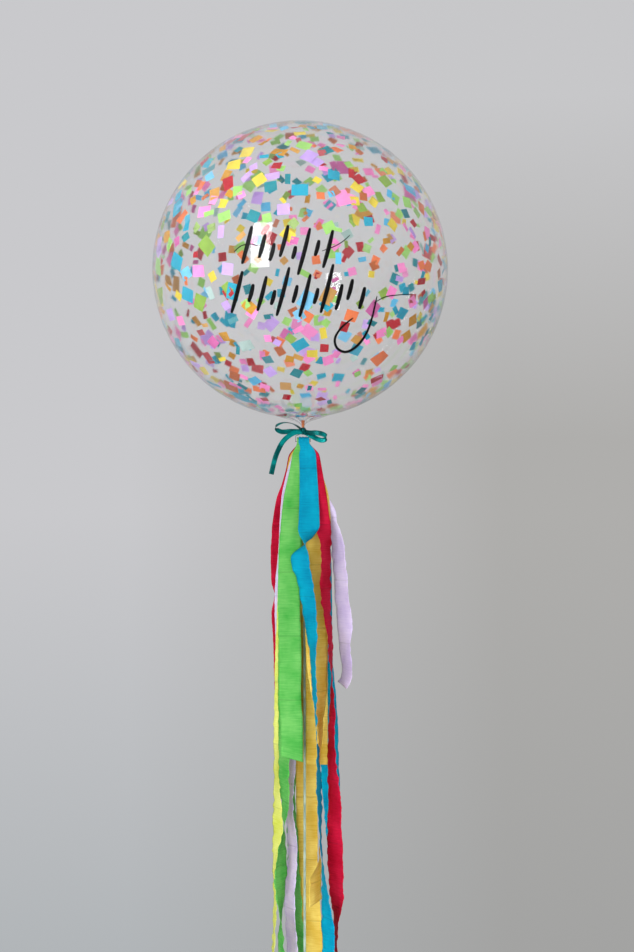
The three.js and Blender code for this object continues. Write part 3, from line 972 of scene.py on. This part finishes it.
# %% Bow mesh
bow_points, bow_run, bow_faces = [], [], []
ribbon_runs = ((LEFT_LOOP, RIBBON_WIDTH), (RIGHT_LOOP, RIBBON_WIDTH), (LONG_TAIL, RIBBON_WIDTH),
               (hanger_route(), HANGER_WIDTH))
for number, (route, width) in enumerate(ribbon_runs):
    ribbon_run(route, width, bow_points, bow_run, bow_faces, number)
satin_bow = link_mesh("satin_bow", bow_points, bow_faces)
note_run(satin_bow, bow_run)
give_thickness(satin_bow, RIBBON_THICKNESS)
bow_knot = knot_mesh("bow_knot", knot_barrel, KNOT_HALF[0] * MM, rings=24, sides=40, number=9)
# The bow's near-black colour is painted shade, and its bright teal painted highlight.
bow_satin = satin("bow_satin", "#000b0c", "#00807e", "#48ece8", roughness=0.22)
for piece in (satin_bow, bow_knot):
    piece.data.materials.append(bow_satin)
print("bow faces:", len(bow_faces) + len(bow_knot.data.polygons))

# %% [markdown]
# The tail is eight strips of crepe paper, each laid over the hanger so that its two ends hang in front and
# behind. Near the tie the strips are gathered to half their width and lie packed on each other. Further
# down they open and hang apart. A strip is described by stations: how far down, how far across in strip
# widths, and how far it has turned. The same stations shape the CAD solids. A cloth simulation would not
# hang them in these places, so the mesh follows the stations, and the paper's own forms are added on top:
# gathers at the fold, wavy edges, fold memory.

# %% Streamer sizes
STRIP_WIDTH = 44.5
STRIP_THICKNESS = 0.3 * MM
STRIP_COLUMNS = 11
STRIP_STEP = 2.5
GATHERED_WIDTH = 22
SHOULDER_WIDTH = 34
SHOULDER_DROP = 30
SHOULDER_EASE = 20
FULL_DROP = 250
PACKED_DROP = 110
LANES_DROP = 230
FOLD_PITCH = 1.0
INNER_FOLD = 5
FOLD_STEPS = 16
FOLD_SHIFT = 3
CREASE_SPACING = 128
# Name, paper, the fold's shift, then the front and the back tail. A tail is its lane in strip widths behind
# the string, how far its end slants in millimetres, and its stations: drop in millimetres, place across in
# strip widths and, where it has turned, the turn in degrees.
STREAMERS = (
    ("streamer_lemon", "crepe_lemon", 0,
     (0.17, 0.0, ((77, -0.13), (108, -0.29), (140, -0.4), (201, -0.5), (289, -0.62), (468, -0.79, -8),
     (600, -0.92, -35), (663, -1.17, -70), (732, -1.19, -72), (801, -1.15, -63), (893, -1.24, -72),
     (1060, -1.33, -82), (1184, -1.3, -86))),
     (0.54, 3.0, ((140, 0.18), (250, 0.27, 25), (400, 0.36, 58), (616, 0.37, 63)))),
    ("streamer_lilac", "crepe_lilac", 2,
     (-0.04, -5.0, ((77, 0.4), (108, 0.52), (140, 0.79), (158, 1, -8), (185, 1.24, -50), (234, 1.61, -51),
     (311, 1.74, -52), (384, 1.87, -48), (437, 1.92, -63), (492, 2.06, -63), (517, 1.84, -67))),
     (0.58, 0.0, ((92, -0.38), (140, -0.56), (234, -0.63), (344, -0.81), (480, -0.74), (661, -0.7, -45),
     (767, -0.63, -65), (860, -0.52, -64), (962, -0.61, -62), (1060, -0.47, -60), (1250, -0.56, -40)))),
    ("streamer_gold_a", "crepe_gold", FOLD_SHIFT,
     (-0.24, 0.0, ((77, 0.4), (140, 0.76), (179, 0.79), (300, 0.38), (344, 0.31), (407, 0.63), (677, 0.63))),
     (1.12, 0.0, ((60, -0.27), (140, -0.45), (300, -0.58), (590, -0.61)))),
    ("streamer_gold_b", "crepe_gold", 0,
     (-0.82, 4.0, ((140, 0.48), (250, 0.55), (400, 0.6), (600, 0.76, 75), (677, 0.77, 87), (862, 0.77, 87),
     (905, 0.61, 57), (952, 0.6, 57))),
     (1.25, 0.0, ((140, 0.13), (300, 0.22), (677, 0.16), (811, 0.18, -10), (893, 0.22, -25), (997, 0.34, -15),
     (1060, 0.53, -20), (1223, 0.63, -5)))),
    ("streamer_red", "crepe_crimson", 1,
     (-1.03, 0.0, ((47, 0.35), (77, 0.47), (140, 0.67), (175, 0.74, 5), (205, 0.93, 50), (250, 1.01, 63),
     (311, 1.06, 62), (358, 1.12, 71), (407, 1.21, 77), (484, 1.24, 90), (549, 1.3, 103), (649, 1.3, 111),
     (751, 1.39, 123), (842, 1.48, 133), (930, 1.53, 128), (997, 1.46, 100), (1130, 1.57, 98))),
     (1.32, 0.0, ((53, -0.29), (77, -0.38), (108, -0.56), (140, -0.79), (201, -0.96), (262, -1.01),
     (311, -0.97), (338, -0.83), (374, -0.97), (430, -0.9), (680, -0.74)))),
    ("streamer_green_b", "crepe_green", 0,
     (-0.8, 0.0, ((77, -0.13), (140, -0.42), (300, -0.58, -8), (547, -0.74, -35), (663, -0.84, -60),
     (732, -0.84, -66), (799, -0.88, -90), (893, -0.97, -122), (962, -0.99, -104), (1031, -1, -73),
     (1150, -1.03, -100))),
     (1.5, 0.0, ((140, -0.22), (300, -0.31), (600, -0.6), (690, -0.8), (742, -0.77, -38), (791, -0.6, -58),
     (893, -0.42, -58), (1060, -0.22, -58), (1200, -0.16, -55)))),
    ("streamer_green_a", "crepe_green", -1,
     (-1.3, -6.0, ((77, -0.2), (140, -0.45), (201, -0.54, -6), (327, -0.63, 8), (468, -0.56), (523, -0.58),
     (600, -0.49), (659, -0.49))),
     (1.62, 0.0, ((140, -0.13), (590, -0.22)))),
    ("streamer_blue", "crepe_blue", 2,
     (-1.85, 0.0, ((40, 0.2), (179, 0.29), (228, 0.11, 90), (254, -0.11, 144), (311, 0.18, 132),
     (384, 0.36, 123), (460, 0.45, 108), (596, 0.62, 90), (722, 0.71, 77), (842, 0.87, 88), (962, 1.05, 117),
     (1005, 1.1, 124), (1100, 1.28, 112))),
     (1.8, 0.0, ((77, 0.31), (140, 0.58), (300, 0.83), (460, 0.86), (547, 1.03, 10), (665, 1.24, 30),
     (751, 1.3, 36), (850, 1.44, 48)))),
)
fold_centre = -FOLD_TOP - INNER_FOLD - FOLD_PITCH * (len(STREAMERS) - 1)

# %% [markdown]
# Between stations a tail is eased so that it never swings past a station's own value. The paper's waves are
# Perlin noise read at the distance along the strip, so every run of the script gives the same waves. They
# grow from nothing where the strips are packed, so that neighbours there don't cut each other.

# %% Streamer curves
def eased(stations, drop, column):
    last = len(stations) - 1
    i = 0
    while i < last - 1 and drop > stations[i + 1][0]:
        i += 1

    def rate(k):
        return (stations[k + 1][column] - stations[k][column]) / (stations[k + 1][0] - stations[k][0])

    def slope(k):
        before, after = rate(max(k - 1, 0)), rate(min(k, last - 1))
        return 2 * before * after / (before + after) if before * after > 0 else 0

    low, high = stations[i], stations[i + 1]
    length = high[0] - low[0]
    s = min(max((drop - low[0]) / length, 0), 1)
    rise = high[column] - low[column]
    bend = s * (1 - s) * ((1 - s) * (slope(i) * length - rise) - s * (slope(i + 1) * length - rise))
    return low[column] + s * rise + bend


def open_width(drop):
    shoulder = smooth_share(drop, -fold_centre, SHOULDER_DROP + SHOULDER_EASE)
    width = mix(GATHERED_WIDTH, SHOULDER_WIDTH, shoulder)
    return width + smooth_share(drop, SHOULDER_DROP, FULL_DROP) * (STRIP_WIDTH - SHOULDER_WIDTH)


# %% Waves of the paper
# Ruffle, flutter and drift: length in millimetres, change across, seed, height in the middle and at the
# edges.
PAPER_WAVES = ((13, 1.1, 0, 0.5, 2.9), (5, 2.0, 40, 0.15, 0.85), (75, 0.5, 80, 2.2, 2.2))
EDGE_POWER = 2.5
CURL_LENGTH, CURL_HEIGHT = 160, 2.0
MEMORY_HEIGHT = 5
FRAY_DEPTH = 0.5
GATHER_DEPTH, GATHER_COUNT = 0.9, 3.5
GATHERS_FROM, GATHERS_TO = 60, 190


def paper_wave(drop, side, seed, free):
    """How far the paper stands off its own middle surface, in mm. side is -1 to 1 across the strip."""
    edge = abs(side) ** EDGE_POWER
    height = 0
    for length, change, shift, middle_height, edge_height in PAPER_WAVES:
        wave = noise.noise(Vector((drop / length, side * change, seed + shift)))
        height += wave * mix(middle_height, edge_height, edge)
    memory = abs((drop / CREASE_SPACING / 2 + seed * CREASE_SHIFT) % 1 - 0.5) - 0.25
    curl = noise.noise(Vector((drop / CURL_LENGTH, 3, seed))) * side * side
    return free * (height + memory * MEMORY_HEIGHT + curl * CURL_HEIGHT)


def ragged(drop, side, seed):
    """How far an edge strays sideways, in millimetres."""
    if abs(side) < 0.99:
        return 0
    short, long = Vector((drop / 4, side * 3, seed)), Vector((drop / 17, side, seed))
    return FRAY_DEPTH * (noise.noise(short) + noise.noise(long))


def gathers(x, drop):
    """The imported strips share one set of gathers, which opens out with them."""
    fade = 1 - smooth_share(drop, GATHERS_FROM, GATHERS_TO)
    return GATHER_DEPTH * fade * math.cos(2 * math.pi * GATHER_COUNT * x / open_width(drop))


# %% Rows of a streamer
SLANT_REACH = 60
FRONT_SEED, BACK_SEED = 0.5, 20.5


def tail_rows(tail, side, fold_radius, shift, seed):
    """Rows of one tail from the fold down. side is -1 for the front and 1 for the back."""
    lane, slant, hang = tail
    stations = [(-fold_centre, shift / STRIP_WIDTH, 0), *((*station, 0)[:3] for station in hang)]
    top, bottom = stations[0][0], stations[-1][0]
    count = math.ceil((bottom - top) / STRIP_STEP)
    rows = []
    for i in range(count + 1):
        drop = mix(top, bottom, i / count)
        free = smooth_share(drop, PACKED_DROP, LANES_DROP)
        depth = mix(side * fold_radius, lane * STRIP_WIDTH, free)
        centre = Vector((eased(stations, drop, 1) * STRIP_WIDTH, depth, -drop))
        turn = math.radians(eased(stations, drop, 2))
        across = Vector((math.cos(turn), math.sin(turn), 0))
        inward = Vector((side * math.sin(turn), -side * math.cos(turn), 0))
        width, end = open_width(drop), smooth_share(drop, bottom - SLANT_REACH, bottom)
        row = []
        for u in evenly(STRIP_COLUMNS):
            reach = u * width / 2 + ragged(drop, u, seed) * (0.2 + 0.8 * free)
            off = paper_wave(drop, u, seed, free) - gathers(centre.x + reach, drop)
            point = centre + across * reach + inward * off
            point.z += u * slant * end
            row.append((point, (u * STRIP_WIDTH / 2, drop * side)))
        rows.append(row)
    return rows


def fold_rows(fold_radius, shift):
    rows = []
    for i in range(1, FOLD_STEPS):
        angle = math.pi * i / FOLD_STEPS
        outward = Vector((0, -math.cos(angle), math.sin(angle)))
        row = []
        for u in evenly(STRIP_COLUMNS):
            x = shift + u * GATHERED_WIDTH / 2
            point = Vector((x, 0, fold_centre)) + outward * (fold_radius + gathers(x, -fold_centre))
            row.append((point, (u * STRIP_WIDTH / 2, fold_radius * -math.cos(angle))))
        rows.append(row)
    return rows


# %% Streamer meshes
def make_streamer(name, shift, front, back, place):
    fold_radius = INNER_FOLD + FOLD_PITCH * place
    rows = tail_rows(front, -1, fold_radius, shift, place + FRONT_SEED)[::-1]
    rows += fold_rows(fold_radius, shift)
    rows += tail_rows(back, 1, fold_radius, shift, place + BACK_SEED)
    middle = STRIP_COLUMNS // 2
    length = sum((b[middle][0] - a[middle][0]).length for a, b in zip(rows, rows[1:]))
    points = [point * MM for row in rows for point, _ in row]
    run = [(across * MM, along * MM, place) for row in rows for _, (across, along) in row]
    piece = link_mesh(name + "_paper", points, band_faces(len(rows), STRIP_COLUMNS))
    note_run(piece, run)
    give_thickness(piece, STRIP_THICKNESS)
    return piece, length * MM


crepe_strips = {}
for place, (name, slot, shift, front, back) in enumerate(STREAMERS):
    piece, strip_length = make_streamer(name, shift, front, back, place)
    crepe_strips[name] = (piece, slot, strip_length)
    print(name, "is", round(strip_length, 3), "m long and has", len(piece.data.polygons), "faces")

# %% [markdown]
# Crepe paper is dyed through, so its colour is strong, and a little of the light that falls on its back
# comes out in front. Each colour has a lighter and a darker shade, which the crinkles mix. Along the fold
# creases the colour is darkened a little, which is painted shade.

# %% Crepe materials
CREPE_COLOURS = {
    "crepe_lemon": ("#d6de4e", "#f0f490"),
    "crepe_gold": ("#d8b236", "#f7e27c"),
    "crepe_lilac": ("#d2c4ec", "#ece2fa"),
    "crepe_crimson": ("#ac0222", "#da1c46"),
    "crepe_green": ("#3caa40", "#80cc6c"),
    "crepe_blue": ("#008cb4", "#00b4d2"),
}
CREPE_STRETCH = (30.0, 520.0, 1.0)
CREASE_SHADE_COLOUR = (0.02, 0.02, 0.02, 1)


def make_crepe(name, dark, light):
    material, tree = new_material(name + "_paper")
    crinkles = node(tree, "ShaderNodeGroup", {
        "Place": attribute(tree, "run", "Vector"), "Stretch": CREPE_STRETCH,
        "Crease Spacing": CREASE_SPACING * MM,
    }, node_tree=paper_crinkles).outputs
    dyed = mixed_colour(tree, crinkles["Tone"], paint(dark), paint(light))
    # Painted shade: the colour is darkened a little along the fold creases.
    crease_shaded = mixed_colour(tree, times(tree, crinkles["Crease"], 0.16), dyed, CREASE_SHADE_COLOUR)
    show_paper(tree, crease_shaded, crinkles, see_through=0.32, roughness=0.72, bump_depth=0.0012)
    return material


crepe_papers = {slot: make_crepe(slot, *shades) for slot, shades in CREPE_COLOURS.items()}
for piece, slot, _ in crepe_strips.values():
    piece.data.materials.append(crepe_papers[slot])

# %% [markdown]
# Every piece is now parented to one empty, body:root. The skin, bow, string and paper replace their CAD
# nodes, which are hidden. The table gives each piece with the record's material slot that it names and the
# CAD nodes that it replaces.

# %% What each piece stands for
STANDS_FOR = (
    (clear_skin, "clear_film", ["balloon"]),
    (confetti, "confetti_tissue", []),
    (neck_scrap, "confetti_tissue", []),
    (brush_strokes, "print_black", []),
    (satin_bow, "bow_satin", ["bow"]),
    (bow_knot, "bow_satin", []),
    (mooring_string, "string_ribbon", ["string"]),
    (end_knot, "string_ribbon", []),
)
for piece, slot, nodes in STANDS_FOR:
    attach(piece, "root")
    if nodes:
        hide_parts(*nodes)
for name, (piece, slot, strip_length) in crepe_strips.items():
    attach(piece, "root")
    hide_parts(name)

# %% [markdown]
# The stage is a plain pale studio. The background is the world's own pale grey, which also fills the shadows.
# It is a little darker below, and on the right it is darker from the middle down, as a painted shadow of the
# balloon. A floor lies well under the tail and fades out before the photograph's view reaches it. The main
# lamp is one tall softbox in front, to the left and above: the balloon mirrors it as a white window on its
# front, and as a softer, upturned one on its back. Two more lamps, which the film doesn't mirror, fill the
# shadows: a wide one those of the balloon, and a narrow beam those of the tail's lower half.

# %% World
ROOM_STRENGTH = 1.4


def make_world():
    """Pale grey, darker below; on the right, a painted shadow of the balloon. The room is brighter behind the
    camera.
    """
    world = bpy.data.worlds.new("studio")
    world.use_nodes = True
    tree = world.node_tree
    tree.nodes.clear()
    x, y, z = parted(tree, node(tree, "ShaderNodeTexCoord").outputs["Generated"])
    low = ramp(tree, z, -0.02, -0.25)
    left = mixed_colour(tree, low, paint("#c9c9cc"), paint("#b1b5b8"))
    # The right is darker from the middle down: a painted shadow of the balloon.
    right = mixed_colour(tree, low, paint("#afaeac"), paint("#a3a3a2"))
    right = mixed_colour(tree, ramp(tree, z, 0.02, 0.2), right, paint("#c7c7c9"))
    background = node(tree, "ShaderNodeBackground", {
        "Color": mixed_colour(tree, ramp(tree, x, -0.1, 0.1), left, right),
        "Strength": ramp(tree, y, 0.3, -0.6, 1.0, ROOM_STRENGTH),
    })
    node(tree, "ShaderNodeOutputWorld", {0: background.outputs[0]})
    bpy.context.scene.world = world


make_world()

# %% Floor
FLOOR_DROP = 1.7
FLOOR_SOLID = 1.2
FLOOR_END = 2.6


def make_floor():
    bpy.ops.mesh.primitive_circle_add(vertices=96, radius=FLOOR_END, fill_type="NGON",
                                      location=(0, 0, -FLOOR_DROP))
    floor = bpy.context.object
    floor.name = "studio_floor"
    material, tree = new_material("studio_floor")
    place = object_place(tree)
    grain = noise_texture(tree, place, 14.0, 4.0)
    shader = node(tree, "ShaderNodeBsdfPrincipled", {
        "Base Color": mixed_colour(tree, grain, paint("#bdbdbe"), paint("#c9c9ca")), "Roughness": 0.8})
    nothing = node(tree, "ShaderNodeBsdfTransparent")
    faded = ramp(tree, vector_maths(tree, "LENGTH", place), FLOOR_SOLID, FLOOR_END * 0.98)
    show(tree, node(tree, "ShaderNodeMixShader", {0: faded, 1: shader.outputs[0], 2: nothing.outputs[0]}))
    floor.data.materials.append(material)


make_floor()


# %% Lamps
def softbox(name, target, azimuth, elevation, distance, width, height, power, mirrored, spread=180):
    """A rectangular lamp that faces the target. Azimuth is to the right of the front, in degrees."""
    a, e = math.radians(azimuth), math.radians(elevation)
    way = Vector((math.sin(a) * math.cos(e), -math.cos(a) * math.cos(e), math.sin(e)))
    lamp = bpy.data.lights.new(name, "AREA")
    lamp.shape = "RECTANGLE"
    lamp.size, lamp.size_y = width, height
    lamp.energy = power
    lamp.spread = math.radians(spread)
    holder = link_object(name, lamp)
    holder.location = target + way * distance
    holder.rotation_euler = (-way).to_track_quat("-Z", "Y").to_euler()
    holder.visible_glossy = mirrored
    holder.visible_transmission = mirrored


tail_end = Vector((0, 0, -1.05))
softbox("key_softbox", balloon_centre, azimuth=-28, elevation=12, distance=2.6, width=0.62, height=1.45,
        power=34, mirrored=True)
softbox("front_fill", balloon_centre, azimuth=8, elevation=-14, distance=4.2, width=3.0, height=3.4,
        power=75, mirrored=False)
softbox("tail_fill", tail_end, azimuth=-12, elevation=2, distance=2.4, width=0.9, height=0.9,
        power=3.2, mirrored=False, spread=50)
bpy.context.scene.view_settings.view_transform = "Standard"
print("lamps:", len(bpy.data.lights))
